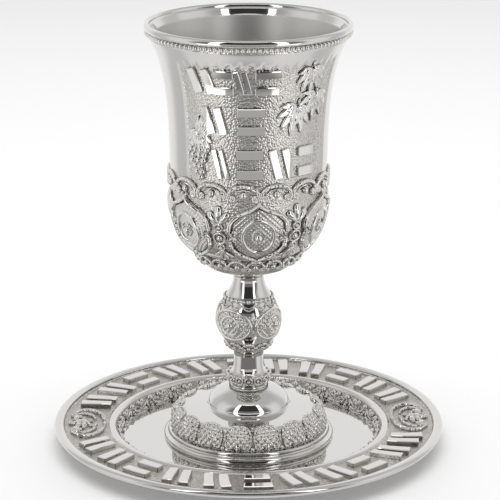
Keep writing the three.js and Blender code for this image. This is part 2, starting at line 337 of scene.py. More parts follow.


# Silver. Every finish is the same plate with its own polish, patina, painted shade and tool marks.
# The ground is the chased background, its grain in mm. The feet are the dark roots of raised ornament,
# darkened for patina and painted shade.
finishes = {
    "bowlSilver": {
        "bright": (0.70, 0.69, 0.67), "ground": (0.70, 0.685, 0.655), "darkPatinaAndShade": (0.42, 0.395, 0.36),
        "polish": 0.06, "groundPolish": 0.22, "grain": 0.72, "grainDepth": 0.15, "pitPatinaAndShade": 0.62,
    },
    "saucerSilver": {
        "bright": (0.70, 0.69, 0.67), "ground": (0.58, 0.56, 0.53), "darkPatinaAndShade": (0.36, 0.335, 0.30),
        "polish": 0.05, "groundPolish": 0.34, "grain": 0.72, "grainDepth": 0.14, "pitPatinaAndShade": 0.85,
    },
    "reliefSilver": {
        "bright": (0.80, 0.79, 0.765), "ground": (0.60, 0.58, 0.55), "darkPatinaAndShade": (0.34, 0.31, 0.27),
        "polish": 0.09, "groundPolish": 0.28, "grain": 0.5, "grainDepth": 0.06, "pitPatinaAndShade": 0.0,
    },
    "latticeSilver": {
        "bright": (0.76, 0.745, 0.715), "ground": (0.60, 0.58, 0.55), "darkPatinaAndShade": (0.30, 0.27, 0.23),
        "polish": 0.09, "groundPolish": 0.28, "grain": 0.5, "grainDepth": 0.06, "pitPatinaAndShade": 0.0,
    },
}
marks = {
    "rootPatinaAndShadeReach": 0.3,        # mm above its roots that raised ornament stays dark, for patina and painted shade
    "brushedPolish": 0.42,     # the inside of the bowl, brushed and a little duller
    # painted shade: how far the inside of the bowl is darkened towards the dark patina colour
    "insidePaintedShade": 0.25,
    "wiping": (170, 3),        # scale and detail of the marks
    "rubbing": (430, 4),
    "planishing": (260, 2),
    "planishedDepth": 0.02,    # mm
    "planishedStrength": 0.35,
}


def silver(name):
    look = finishes[name]
    material = bpy.data.materials.new(name)
    material.use_nodes = True
    nodes, links = material.node_tree.nodes, material.node_tree.links
    shader = nodes["Principled BSDF"]
    shader.inputs["Metallic"].default_value = 1.0
    place = nodes.new("ShaderNodeTexCoord").outputs["Object"]

    def attribute(wanted):
        made = nodes.new("ShaderNodeAttribute")
        made.attribute_name = wanted
        return made.outputs["Fac"]

    def noise(mark):
        made = nodes.new("ShaderNodeTexNoise")
        scale, detail = marks[mark]
        made.inputs["Scale"].default_value = scale
        made.inputs["Detail"].default_value = detail
        links.new(place, made.inputs["Vector"])
        return made.outputs["Fac"]

    def ranged(value, low, high, toLow, toHigh):
        made = nodes.new("ShaderNodeMapRange")
        limits = {"From Min": low, "From Max": high, "To Min": toLow, "To Max": toHigh}
        for socket, amount in limits.items():
            made.inputs[socket].default_value = amount
        links.new(value, made.inputs["Value"])
        return made.outputs["Result"]

    def combined(operation, first, second):
        made = nodes.new("ShaderNodeMath")
        made.operation = operation
        links.new(first, made.inputs[0])
        links.new(second, made.inputs[1])
        return made.outputs[0]

    def mixed(share, first, second):  # from the first colour to the second
        made = nodes.new("ShaderNodeMix")
        made.data_type = "RGBA"
        made.inputs[7].default_value = (*second, 1)
        if isinstance(first, tuple):
            made.inputs[6].default_value = (*first, 1)
        else:
            links.new(first, made.inputs[6])
        links.new(share, made.inputs[0])
        return made.outputs[2]

    # patina, unevenly wiped away, with painted shade in the pits of the ground and at the roots of raised
    # ornament, and the inside of the bowl painted darker
    ground = attribute("ground")
    wiped = ranged(noise("wiping"), 0.3, 0.7, 0.7, 1.0)
    darkPatinaAndShade = combined("MULTIPLY", ranged(attribute("lift"), marks["rootPatinaAndShadeReach"], -0.05, 0.0, 1.0), wiped)
    grain = nodes.new("ShaderNodeTexVoronoi")
    grain.feature = "SMOOTH_F1"
    grain.inputs["Scale"].default_value = 1 / (look["grain"] * mm)
    grain.inputs["Smoothness"].default_value = 0.25
    grain.inputs["Randomness"].default_value = 0.9
    links.new(place, grain.inputs["Vector"])
    pitPatinaAndShade = ranged(grain.outputs["Distance"], 0.25, 0.7, 0.0, look["pitPatinaAndShade"])
    stained = combined("MULTIPLY", ground, wiped)
    pitPatinaAndShadeShare = combined("MULTIPLY", ground, pitPatinaAndShade)
    colour = mixed(stained, look["bright"], look["ground"])
    # patina and painted shade: the pits of the pebbled ground darkened
    colour = mixed(combined("MULTIPLY", pitPatinaAndShadeShare, wiped), colour, look["darkPatinaAndShade"])
    # patina and painted shade: the roots of raised ornament darkened
    colour = mixed(darkPatinaAndShade, colour, look["darkPatinaAndShade"])
    # painted shade: the inside of the bowl darkened
    colour = mixed(ranged(attribute("inside"), 0, 1, 0.0, marks["insidePaintedShade"]), colour, look["darkPatinaAndShade"])
    links.new(colour, shader.inputs["Base Color"])

    # polish, with faint wiping marks and a duller ground
    rubbed = ranged(noise("rubbing"), 0.25, 0.75, look["polish"] * 0.75, look["polish"] * 1.3)
    dull = ranged(combined("MAXIMUM", stained, darkPatinaAndShade), 0, 1, 0.0, look["groundPolish"] - look["polish"])
    brushed = ranged(attribute("inside"), 0, 1, 0.0, marks["brushedPolish"])
    links.new(combined("MAXIMUM", combined("ADD", rubbed, dull), brushed), shader.inputs["Roughness"])

    # tool marks: pebbled ground, and a little hand finishing everywhere
    pebbles = nodes.new("ShaderNodeBump")
    pebbles.invert = True
    pebbles.inputs["Distance"].default_value = look["grainDepth"] * mm
    links.new(combined("MULTIPLY", grain.outputs["Distance"], ground), pebbles.inputs["Height"])
    planished = nodes.new("ShaderNodeBump")
    planished.inputs["Strength"].default_value = marks["planishedStrength"]
    planished.inputs["Distance"].default_value = marks["planishedDepth"] * mm
    links.new(noise("planishing"), planished.inputs["Height"])
    links.new(pebbles.outputs["Normal"], planished.inputs["Normal"])
    links.new(planished.outputs["Normal"], shader.inputs["Normal"])
    return material


bowlSilver = silver("bowlSilver")
saucerSilver = silver("saucerSilver")
reliefSilver = silver("reliefSilver")
latticeSilver = silver("latticeSilver")
print("silver mixed")

bowl = {
    "around": 288,          # steps round the turned wall
    "bottom": 57.3,         # heights are above the plane the cup stands on
    "waist": 26.1,
    "lipRadius": 34.2,
    "top": 143,
    "wall": 1.3,
    "panel": (-47.5, 66),   # pebbled between these directions, in degrees from the front to the right
    "panelTop": 133.4,
    "groundDepth": 0.3,
    "arches": 15,
    "firstArch": -3.6,
    "archHeight": 91.6,
    "medallions": 6,
    "firstMedallion": 7.5,
    "medallionHeight": 77,
    "dropHeight": 76.2,
    "lowerArches": 18,
    "lowerArchHeight": 64.7,
    "lowerArchRadius": 17.6,
    "beads": 118,
    "beadHeight": 139.85,
}
archHalf = math.pi * bowl["waist"] / bowl["arches"]


def bowlOutside():
    waist = bowl["waist"]
    return [
        *smoothRun([(5.2, bowl["bottom"]), (9.2, 58.9), (14.2, 61.1), (16.9, 63.6), (18, 66.2),
                    (18.3, 67.2)], 6),
        *smoothRun([(19.4, 67.9), (22.6, 72), (24.6, 77), (25.7, 83), (26, 90)], 13),
        *smoothRun([(waist, 98), (26.45, 110), (27.6, 122), (29.8, 131.6), (32.9, 138.5)], 20),
    ]


def bowlOutline():
    wall, waist, lip, top = bowl["wall"], bowl["waist"], bowl["lipRadius"], bowl["top"]
    return [
        *straightRun((0, bowl["bottom"]), (5.2, bowl["bottom"]), 3),
        *bowlOutside(),
        *straightRun((32.95, 138.8), (33.05, 140.7), 4),
        *arcRun(lip - 0.95, top - 1.2, 0.95, 1.2, -75, 185, 22),
        *straightRun((lip - 1.95, top - 1.3), (31, 139.4), 5),
        *smoothRun([(30.8, 139.1), (29.8 - wall, 131.6), (27 - wall, 116), (waist - wall, 98),
                    (waist - wall, 88)], 9),
        *smoothRun([(25.8 - wall, 83), (22.9 - wall, 73.4), (16.6, 66.4), (8.5, 61.4), (0, 60)], 6),
    ]


def bowlGround(direction, height, radius):
    # a line within the wall parts the inner face from the outer one
    inner = radius < np.interp(height, [59, 61.4, 66.4, 70, 73.4, 84, 98, 120, 132, 139],
                               [4, 12, 17.4, 20.4, 22.4, 25.1, 25.5, 26.7, 29.1, 32])
    ragged = 0.8 * np.sin(direction * 0.9) + 0.5 * np.sin(direction * 2.3 + 1)
    panel = within(direction, *bowl["panel"], 1.5) * within(height, 90, bowl["panelTop"] + ragged, 2.4)
    arch = (direction - bowl["firstArch"]) * math.radians(1) * bowl["waist"]
    arch = np.abs((arch + archHalf) % (2 * archHalf) - archHalf) / archHalf
    scalloped = within(height, 68.2, bowl["archHeight"] + 2.0 - 3.2 * arch**3, 0.5)
    lower = within(height, 61.5, 66.8, 0.5)
    behindBeads = 0.8 * within(height, 138.7, 140.9, 0.2)
    share = np.clip(np.maximum(np.maximum(panel, scalloped), np.maximum(lower, behindBeads)), 0, 1)
    return np.where(inner, 0, share), bowl["groundDepth"] * (height < 138), inner * (height < 139.3)


turnedShell("bowl", bowlOutline(), cupBase, bowl["around"], bowlGround, bowlSilver)
bowlFace = faceOf(bowlOutside(), cupBase)


def lipBead(bm):
    bead(bm, 0, 0, 1.66, 1.8, 1.05, around=8, rows=6)


def archPiece(bm, half=archHalf, tall=1.0, band=1.5, rise=1.0, drop=2.3):
    # an arch with curled feet, a thin inner wire and a hanging drop
    side = half * 0.93
    eye = side * 0.24
    leg = curl(-side + eye, -1.2 * tall, 560, 180, 0.3, eye, 16)
    over = smoothRun([(-side, -1.1 * tall), (-side * 0.88, 0.9 * tall), (-side * 0.48, 2.3 * tall),
                      (0, 2.75 * tall)], 5)
    path = leg[:-1] + over
    wire(bm, bothSides(path), band, rise, taper=0.45)
    thin = smoothRun([(-side * 0.62, 0.1 * tall), (-side * 0.4, 1.1 * tall), (0, 1.5 * tall)], 5)
    wire(bm, bothSides(thin), band * 0.42, rise * 0.55, taper=0.7)
    for place in (-1, 1):
        bead(bm, place * (side - eye), -1.2 * tall, eye * 1.1, eye * 1.1, rise * 0.9, around=8, rows=6)
    bead(bm, 0, -0.3 * tall, drop * tall, drop * 1.15 * tall, rise * 1.15)


def lowerArchPiece(bm):
    half = math.pi * bowl["lowerArchRadius"] / bowl["lowerArches"]
    archPiece(bm, half=half, tall=0.78, band=1.0, rise=0.75, drop=2.4)


def archBud(bm):  # between two arches
    petal(bm, 0, -1.9, 0, 1.1, 3.0, 0.6, crease=0.1)


onion = {  # the left side of a medallion's outline, and the rolls it ends in
    "upper": [(0, 11.6), (-0.9, 10.4), (-3.4, 9.0), (-6.6, 7.5), (-8.9, 5.1), (-9.5, 2.4)],
    "upperCurl": (-8.0, 1.9, 165, 470, 1.5, 0.35),
    "lower": [(0, -11.4), (-1.4, -9.9), (-4.6, -8.2), (-7.7, -5.9), (-9.1, -3.2), (-9.2, -1.4)],
    "lowerCurl": (-8.1, -1.1, 185, -100, 1.2, 0.3),
    "band": 1.5,
    "rise": 1.4,
    "crown": 0.35,
}


def medallionScrolls(bm):
    band, rise = onion["band"], onion["rise"]
    for run, roll in (("upper", "upperCurl"), ("lower", "lowerCurl")):
        path = smoothRun(onion[run], 6)[:-1] + curl(*onion[roll])
        for shape in (path, mirrored(path)):
            wire(bm, shape, band, rise, taper=0.35)
    ringWire(bm, 0, 0, 5.15, 1.4, 1.25, steps=40, stretch=1.14)
    flame = smoothRun([(0, 3.1), (1.5, 1.9), (2.0, 0.1), (1.3, -1.6), (0, -2.2)], 5)
    for side in (-1, 1):
        wire(bm, [(side * x, y) for x, y in flame], 0.85, 1.25, taper=0.6)
        bead(bm, side * 8.0, 1.9, 1.4, 1.4, 1.0)
        bead(bm, side * 8.1, -1.2, 1.3, 1.3, 0.9)
        bead(bm, side * 1.0, 12.6, 1.3, 1.3, 0.85)
    bead(bm, 0, 0, 2.9, 2.9, 1.8, around=16, rows=10)
    bead(bm, 0, 11.7, 1.3, 1.5, 0.8)
    bead(bm, 0, -6.9, 1.1, 1.1, 0.9)


def onionEdge(inside):  # the half width of the medallion at each height, from its bottom up
    left = smoothRun(onion["lower"], 6) + smoothRun(onion["upper"], 6)[::-1]
    return [(max(0.3, -x - inside), y * 0.96) for x, y in left]


def medallionLattice(bm):
    cushion(bm, onionEdge(0.8), onion["crown"], diamonds(1.6, 0.18), fine=0.22)


def dropPiece(bm):
    for lean, length, width in ((-40, 5.4, 2.3), (0, 6.4, 2.5), (40, 5.4, 2.3)):
        petal(bm, 0, 5.0, lean, width, length, 1.1, crease=0, tip=-0.8)
    for y, reach in ((3.9, 1.25), (0.1, 1.95), (-3.5, 1.25)):
        ringWire(bm, 0, y, reach, 0.75, 0.8, steps=22)
        bead(bm, 0, y, reach * 1.15, reach * 1.15, 1.15, around=12, rows=8)
    for lean in (-46, -16, 16, 46):
        petal(bm, 0, -4.7, 180 + lean, 1.3, 5.4, 0.85, crease=0.1, tip=-0.7)


def ringPiece(name, build, first, count, height, face, material=reliefSilver):
    parts = allRound(face, flatMesh(name, build), first, count, walkAtHeight(face, height))
    return joinedPiece(name, parts, material)


beadFace = faceOf(straightRun((32.9, 138.7), (33.05, 140.9), 4), cupBase)
ringPiece("lipBeads", lipBead, 0, bowl["beads"], bowl["beadHeight"], beadFace)
betweenMedallions = bowl["firstMedallion"] + 180 / bowl["medallions"]
betweenArches = bowl["firstArch"] + 180 / bowl["arches"]
ringPiece("arches", archPiece, bowl["firstArch"], bowl["arches"], bowl["archHeight"], bowlFace)
ringPiece("archBuds", archBud, betweenArches, bowl["arches"], bowl["archHeight"] - 0.4, bowlFace)
ringPiece("lowerArches", lowerArchPiece, bowl["firstMedallion"], bowl["lowerArches"],
          bowl["lowerArchHeight"], bowlFace)
ringPiece("medallions", medallionScrolls, bowl["firstMedallion"], bowl["medallions"],
          bowl["medallionHeight"], bowlFace)
ringPiece("medallionLattices", medallionLattice, bowl["firstMedallion"], bowl["medallions"],
          bowl["medallionHeight"], bowlFace, latticeSilver)
ringPiece("drops", dropPiece, betweenMedallions, bowl["medallions"], bowl["dropHeight"], bowlFace)
print("bowl done")

inscription = {
    "rise": 0.6,
    "edge": 0.22,   # of every stroke, on the bowl and on the saucer
    "lean": 14,     # degrees that slanted strokes lean
    "rows": [       # height, length, then (direction, width, kind) of each group of strokes
        (128.6, 8.6, [(-31, 8.2, "slanted"), (-16, 6.6, "stacked"), (-3.5, 4.4, "slanted"),
                      (12, 8, "stacked")]),
        (115.6, 9.2, [(-24, 7.4, "slanted"), (2, 9, "stacked")]),
        (101.3, 10, [(-20, 4.2, "slanted"), (1, 8.8, "stacked"), (24, 7.4, "slanted"),
                     (44, 6.6, "stacked")]),
    ],
}


def strokeGroup(width, length, rise, kind):  # two bars, one above the other or side by side
    edge, lean = inscription["edge"], inscription["lean"]

    def build(bm):
        for side in (-1, 1):
            if kind == "stacked":
                bar(bm, 0, side * length * 0.33, width, length * 0.32, rise, edge)
            else:
                bar(bm, side * width * 0.29, 0, width * 0.37, length, rise, edge, lean)
    return flatMesh("strokeGroup", build)


def bowlStrokes():
    parts = []
    for height, length, groups in inscription["rows"]:
        for direction, width, kind in groups:
            flat = strokeGroup(width, length, inscription["rise"], kind)
            parts.append(bent(bowlFace, flat, direction, walkAtHeight(bowlFace, height)))
    return parts


joinedPiece("bowlInscription", bowlStrokes(), reliefSilver, crisp=True)

vine = {
    # direction and height of the stalk, reach, lean, spread of the fingers
    "leaves": [(43, 131.8, 9.2, 178, 104), (50, 122.6, 9.0, 186, 122), (34.5, 119.6, 9.8, 194, 104),
               (-35, 110.6, 7.4, 24, 70), (-36, 110.8, 8.6, 194, 96)],
    "fingers": 7,
    "grapes": (-38, 105.6),
    "grapeSize": 2.35,
    # grapes in each row of the bunch, and how far it is shifted
    "bunch": ((4, 0.2), (4, -0.2), (3, 0.1), (2, 0), (2, 0.4), (1, 0.5)),
}


def leafPiece(reach, spread):  # a fan of curled fingers, with a shorter fan on top of it
    def build(bm):
        fingers = vine["fingers"]
        for layer, (share, rise) in enumerate(((1.0, 0.8), (0.62, 1.15))):
            for i in range(fingers - layer):
                turn = (i - (fingers - 1 - layer) / 2) / ((fingers - 1) / 2)
                length = reach * share * (1 - 0.4 * abs(turn) ** 1.5)
                petal(bm, 0, 0, turn * spread, reach * 0.27, length, rise, crease=0.6, tip=0.45,
                      bend=-turn * length * 0.45, around=12)
        petal(bm, 0, -0.8, 180, 0.9, 2.4, 0.7, crease=0)
    return flatMesh("leafPiece", build)


def grapePiece(bm):
    size = vine["grapeSize"]
    for row, (count, shift) in enumerate(vine["bunch"]):
        for i in range(count):
            bead(bm, (i - (count - 1) / 2 + shift) * size * 0.86, -row * size * 0.78, size, size,
                 size * (0.5 + 0.08 * ((i + row) % 3)), around=12, rows=8)


def vineParts():
    parts = []
    for direction, height, reach, lean, spread in vine["leaves"]:
        flat = leafPiece(reach, spread)
        flat.transform(Matrix.Rotation(-math.radians(lean), 4, "Z"))
        parts.append(bent(bowlFace, flat, direction, walkAtHeight(bowlFace, height)))
    direction, height = vine["grapes"]
    grapes = flatMesh("grapePiece", grapePiece)
    parts.append(bent(bowlFace, grapes, direction, walkAtHeight(bowlFace, height)))
    return parts


joinedPiece("vine", vineParts(), reliefSilver)
print("inscription and vine done")

stem = {
    "around": 128,
    "bottom": 18,
    "top": 57,
    "radius": 5.2,
    "knopRadius": 10.1,
    "knopHeight": 41.5,
    "medallions": 4,
    "firstMedallion": -36,
    "edgeBeads": 26,
    "edgeBeadHeight": 49.6,
    "festoons": 12,
    "festoonHeight": 47.7,
    "festoonRadius": 8.3,
    "lowerArches": 10,
    "lowerArchHeight": 33.1,
    "lowerArchRadius": 7.4,
    "collarScrolls": 14,
    "collarHeight": 21.0,
}


def stemOutside():
    knop, height, radius = stem["knopRadius"], stem["knopHeight"], stem["radius"]
    return [
        *straightRun((6.3, stem["bottom"]), (6.3, 18.4), 2),
        *smoothRun([(6.1, 18.6), (5.7, 18.75), (5.7, 19.0), (6.5, 19.2), (6.9, 20.6), (7.05, 21.9),
                    (6.6, 22.8)], 5),
        *smoothRun([(5.7, 23.2), (5.3, 24.2), (5.1, 26.4), (5.05, 29.4), (5.3, 30.9)], 6),
        *smoothRun([(5.9, 31.3), (6.9, 32.2), (7.75, 33.3)], 5),
        *smoothRun([(7.65, 33.7), (9.3, 37.3), (knop, height), (9.4, 45.9), (7.9, 48.8)], 10),
        *arcRun(7.7, 49.6, 0.45, 0.5, -90, 90, 8),
        *smoothRun([(7.3, 50.7), (5.9, 53.2), (radius + 0.05, 55.3), (radius, stem["top"])], 8),
    ]


def stemGround(direction, height, radius):
    lower = within(height, 31.2, 34, 0.4)
    collar = within(height, 19.2, 22.8, 0.3)
    return np.clip(lower + collar, 0, 1) * (radius > 5.6), 0.08, 0


stemOutline = [*straightRun((0, stem["bottom"]), (6.6, stem["bottom"]), 3), *stemOutside(),
               *straightRun((stem["radius"], stem["top"]), (0, stem["top"]), 3)]
turnedShell("stem", stemOutline, cupBase, stem["around"], stemGround, saucerSilver)
stemFace = faceOf(stemOutside(), cupBase)


def knopMedallion(bm):
    ringWire(bm, 0, 0, 7.1, 1.35, 1.1, steps=40, stretch=0.7)
    ringWire(bm, 0, 0, 3.1, 0.95, 1.35, steps=26)
    bead(bm, 0, 0, 2.7, 2.7, 1.9, around=14, rows=9)
    for side in (-1, 1):
        wire(bm, curl(side * 5.0, 0, 90, 90 + side * 360, 1.2, 0.35), 0.6, 1.1)


def knopLattice(bm):
    turns = [math.radians(angle) for angle in range(-86, 87, 4)]
    edge = [(7.0 * math.cos(turn), 4.9 * math.sin(turn)) for turn in turns]
    cushion(bm, edge, 0.45, hobnails(1.9, 0.65), fine=0.22)


def knopBud(bm):
    for side in (-1, 1):
        upright = 90 - side * 90
        for lean, length in ((-34, 2.6), (0, 3.4), (34, 2.6)):
            petal(bm, 0, side * 1.6, upright + lean, 1.25, length, 0.6, crease=0.2, tip=0.2)
        bead(bm, 0, side * 1.5, 1.1, 1.1, 0.8)


def festoon(bm):
    half = math.pi * stem["festoonRadius"] / stem["festoons"]
    for drop, band in ((1.5, 0.55), (0.7, 0.35)):
        path = smoothRun([(-half * 0.95, 0.9), (-half * 0.55, 0.9 - drop), (0, 0.4 - drop)], 5)
        wire(bm, bothSides(path), band, 0.55, taper=0.2)
    bead(bm, -half, 0.7, 1.0, 1.2, 0.7, around=8, rows=6)


def edgeBead(bm):
    bead(bm, 0, 0, 1.55, 1.5, 0.8, around=10, rows=7)


def lowerKnopArch(bm):
    half = math.pi * stem["lowerArchRadius"] / stem["lowerArches"]
    archPiece(bm, half=half, tall=0.62, band=0.95, rise=0.7, drop=2.1)


def collarScroll(bm):
    ringWire(bm, 0, 0, 1.2, 0.7, 0.75, steps=18)
    bead(bm, 0, 0, 1.3, 1.3, 0.9, around=10, rows=7)
    bead(bm, 1.55, 1.25, 1.25, 1.25, 0.8, around=8, rows=6)
    bead(bm, 1.55, -1.1, 1.1, 1.1, 0.65, around=8, rows=6)


edgeFace = faceOf(straightRun((7.95, 48.5), (7.95, 50.7), 4), cupBase)
betweenKnopMedallions = stem["firstMedallion"] + 180 / stem["medallions"]
ringPiece("knopMedallions", knopMedallion, stem["firstMedallion"], stem["medallions"],
          stem["knopHeight"], stemFace)
ringPiece("knopLattices", knopLattice, stem["firstMedallion"], stem["medallions"],
          stem["knopHeight"], stemFace, latticeSilver)
ringPiece("knopBuds", knopBud, betweenKnopMedallions, stem["medallions"], stem["knopHeight"], stemFace)
ringPiece("knopEdgeBeads", edgeBead, 0, stem["edgeBeads"], stem["edgeBeadHeight"], edgeFace)
ringPiece("knopFestoons", festoon, 0, stem["festoons"], stem["festoonHeight"], stemFace)
ringPiece("lowerKnopArches", lowerKnopArch, 0, stem["lowerArches"], stem["lowerArchHeight"], stemFace)
ringPiece("collarScrolls", collarScroll, 0, stem["collarScrolls"], stem["collarHeight"], stemFace)
print("stem done")

foot = {
    "around": 224,
    "top": 17.7,
    "domeFoot": 11.2,
    "domeRadius": 13.9,
    "shoulder": 22.6,
    "radius": 28.9,
    "lobes": 16,
    "firstLobe": -8.15,
    "lobeHeight": 7.4,
    # half width of a lobe at heights about its middle
    "lobeEdge": [(2.9, -3.9), (3.8, -2.6), (4.35, -0.4), (4.15, 1.4), (3.3, 2.9), (1.8, 3.8),
                 (0.4, 4.05)],
    "seat": 58,     # degrees from level at which the dome ends under the stem
}


def footOutside():
    seat = foot["seat"]
    rise = (foot["top"] - foot["domeFoot"]) / math.sin(math.radians(seat))
    radius, shoulder = foot["radius"], foot["shoulder"]
    return [
        *straightRun((radius - 0.2, 0.02), (radius - 0.1, 0.25), 2),
        *arcRun(radius - 0.85, 0.9, 0.85, 0.8, -20, 90, 14),
        *arcRun(radius - 2.2, 2.5, 0.75, 0.7, -70, 90, 14),
        *straightRun((radius - 3.1, 3.15), (radius - 3.4, 3.3), 1),
        *arcRun(shoulder, 3.6, 2.9, 6.5, 4, 84, 22),
        *smoothRun([(22.4, 10.2), (18, 10.65), (foot["domeRadius"] + 0.5, 10.95)], 6),
        *arcRun(0, foot["domeFoot"], foot["domeRadius"], rise, 4, seat, 26),
    ]


def footOutline():
    inner = foot["shoulder"] - bowl["wall"]
    return [
        *smoothRun([(0, 16.2), (6.4, 15.9), (10.2, 14), (12.2, 10.2)], 6),
        *smoothRun([(12.8, 9.6), (inner, 8.8), (24.2, 5.6), (24.4, 1.6), (26.4, 0)], 5),
        *straightRun((26.6, 0), (foot["radius"] - 0.35, 0), 3),
        *footOutside(),
        *straightRun((7.36, foot["top"]), (0, foot["top"]), 3),
    ]


def footGround(direction, height, radius):
    return within(height, 3.5, 9.4, 0.4) * (radius > 23.2), 0.12, 0


turnedShell("foot", footOutline(), cupBase, foot["around"], footGround, saucerSilver)
footFace = faceOf(footOutside(), cupBase)


def footLattice(bm):
    cushion(bm, foot["lobeEdge"], 1.0, hobnails(2.1, 0.8), fine=0.24)


def footLobe(bm):
    path = smoothRun([(-half, y) for half, y in foot["lobeEdge"]], 4)
    wire(bm, bothSides(path), 0.95, 1.1, taper=0.2)
    for side in (-1, 1):
        wire(bm, curl(side * 2.4, -3.1, 90, 90 + side * 380, 1.25, 0.4), 0.75, 1.3)
        bead(bm, side * 2.4, -3.1, 1.2, 1.2, 1.3, around=8, rows=6)
    petal(bm, 0, -4.5, 0, 2.2, 3.2, 1.3, crease=0.2)
    bead(bm, 4.85, -3.4, 1.6, 1.6, 1.0, around=8, rows=6)


ringPiece("footLobes", footLobe, foot["firstLobe"], foot["lobes"], foot["lobeHeight"], footFace)
ringPiece("footLattices", footLattice, foot["firstLobe"], foot["lobes"], foot["lobeHeight"], footFace,
          latticeSilver)
print("foot done")

saucer = {
    "around": 256,
    "radius": 66.2,
    "height": 7.3,
    "metal": 1.45,              # the foot stands on it
    "wellRadius": 45.4,
    "wellEdge": 6.2,
    "rimInner": 47.8,
    "rimOuter": 62.8,
    "rosettes": (-87, 93),      # directions
    "strokePlaces": 11,         # from one rosette to the next
    "strokeStart": 8,           # degrees from a rosette
    "strokeSize": (9.0, 10.6),
    "strokeRise": 1.2,
    "swags": 24,
    "swagRadius": 44.1,         # where their middle lies
    "swagSpan": 44.2,           # the radius their width is measured at
}
rimMiddle = (saucer["rimInner"] + saucer["rimOuter"]) / 2


def saucerTop():
    radius, height = saucer["radius"], saucer["height"]
    inner, outer = saucer["rimInner"], saucer["rimOuter"]
    well, edge, metal = saucer["wellRadius"], saucer["wellEdge"], saucer["metal"]
    return [
        *arcRun(radius - 1.4, height - 1.0, 1.4, 1.0, -10, 120, 18),
        *smoothRun([(63.6, 7.12), (63.15, 6.85), (62.95, 6.2), (outer - 0.1, 5.95)], 4),
        *smoothRun([(outer - 0.4, 5.9), (rimMiddle, 5.72), (inner + 0.2, 5.68)], 16),
        *arcRun((inner + well) / 2, edge - 0.45, (inner - well) / 2 - 0.1, 0.5, 20, 165, 12),
        *smoothRun([(44.95, 5.4), (44.3, 3.3), (43.7, 1.8), (43.1, metal + 0.1), (42.4, metal)], 6),
    ]


def saucerOutline():
    metal, radius = saucer["metal"], saucer["radius"]
    return [
        *straightRun((0, 0), (44.3, 0), 12),
        *smoothRun([(44.3, 0), (45.3, 0.7), (46.6, 4.3), (50, 4.7)], 5),
        *smoothRun([(50, 4.7), (saucer["rimOuter"] + 0.6, 4.9), (radius - 0.4, 5.5)], 5),
        *saucerTop(),
        *straightRun((42.2, metal), (0, metal), 16),
    ]


def saucerGround(direction, height, radius):
    rim = within(radius, saucer["rimInner"] + 0.1, saucer["rimOuter"] + 0.1, 0.5) * (height > 5.3)
    wall = within(radius, 43.3, saucer["wellRadius"] - 0.3, 0.4) * (height > 1.3) * (height < 5.9)
    return np.clip(rim + 0.6 * wall, 0, 1), 0.06, 0


turnedShell("saucer", saucerOutline(), 0, saucer["around"], saucerGround, saucerSilver)
saucerFace = faceOf(saucerTop(), 0)
rimWalk = walkAtRadius(saucerFace, rimMiddle)


def rimStrokes():
    kinds = ("stacked", "slanted", "slanted")
    start, places = saucer["strokeStart"], saucer["strokePlaces"]
    parts = []
    for rosette in saucer["rosettes"]:
        for i in range(1, places + 1):
            direction = rosette + start + i * (180 - 2 * start) / (places + 1)
            flat = strokeGroup(*saucer["strokeSize"], saucer["strokeRise"], kinds[i % 3])
            parts.append(bent(saucerFace, flat, direction, rimWalk))
    return parts


def rosettePiece(bm):  # a crescent that opens towards the lip, with a flower between its horns
    outer = smoothRun([(-7.4, -5.6), (-11.2, -2.9), (-11.4, 1.0), (-7.4, 4.8), (0, 6.2)], 7)
    inner = smoothRun([(-6.6, -4.6), (-8.4, -2.6), (-8.2, -0.2), (-5.2, 2.4), (0, 3.2)], 7)
    for path, band, rise in ((outer, 1.25, 1.3), (inner, 1.0, 1.1)):
        wire(bm, bothSides(path), band, rise, taper=0.35)
    for lean in range(0, 360, 60):
        petal(bm, 0, -1.9, lean, 1.9, 3.3, 1.3, crease=0.3, tip=-0.4)
    bead(bm, 0, -1.9, 1.7, 1.6, 1.9, around=12, rows=8)
    for side in (-1, 1):
        wire(bm, curl(side * 6.2, -4.6, 90, 90 - side * 330, 1.5, 0.4), 0.8, 1.2)
        petal(bm, side * 3.0, -4.7, side * 62, 1.9, 4.2, 1.2, crease=0.35, tip=0.2)
        for x, y in ((3.9, -1.2), (2.2, 1.3), (5.6, -2.4)):
            bead(bm, side * x, y, 1.3, 1.3, 1.1, around=9, rows=6)
    bead(bm, 0, -5.6, 1.6, 1.5, 1.2)


def swagPiece(bm):  # two festoons with berries in their middle and a drop at each end
    half = math.pi * saucer["swagSpan"] / saucer["swags"]
    for sag, band in ((1.9, 1.0), (0.5, 0.8)):
        path = smoothRun([(-half * 0.8, -1.4), (-half * 0.62, sag - 1.0), (-half * 0.28, sag - 0.15),
                          (0, sag)], 4)
        wire(bm, bothSides(path), band, 0.7, taper=0.25)
    for x, y, size in ((-1.2, -1.6, 1.8), (1.2, -1.6, 1.8), (0, -0.9, 1.8)):
        bead(bm, x, y, size, size, 1.1, around=9, rows=6)
    for y, size in ((-1.5, 2.2), (0.4, 1.4), (1.7, 1.2)):
        bead(bm, -half, y, size, size, size * 0.6, around=9, rows=6)


def rosettes():
    flat = flatMesh("rosettePiece", rosettePiece)
    return [bent(saucerFace, flat, direction, rimWalk) for direction in saucer["rosettes"]]


def wellSwags():
    flat = flatMesh("swagPiece", swagPiece)
    return allRound(saucerFace, flat, 0, saucer["swags"], walkAtRadius(saucerFace, saucer["swagRadius"]))


joinedPiece("rimInscription", rimStrokes(), saucerSilver, crisp=True)
joinedPiece("rosettes", rosettes(), reliefSilver)
joinedPiece("wellSwags", wellSwags(), reliefSilver)
print("saucer done")

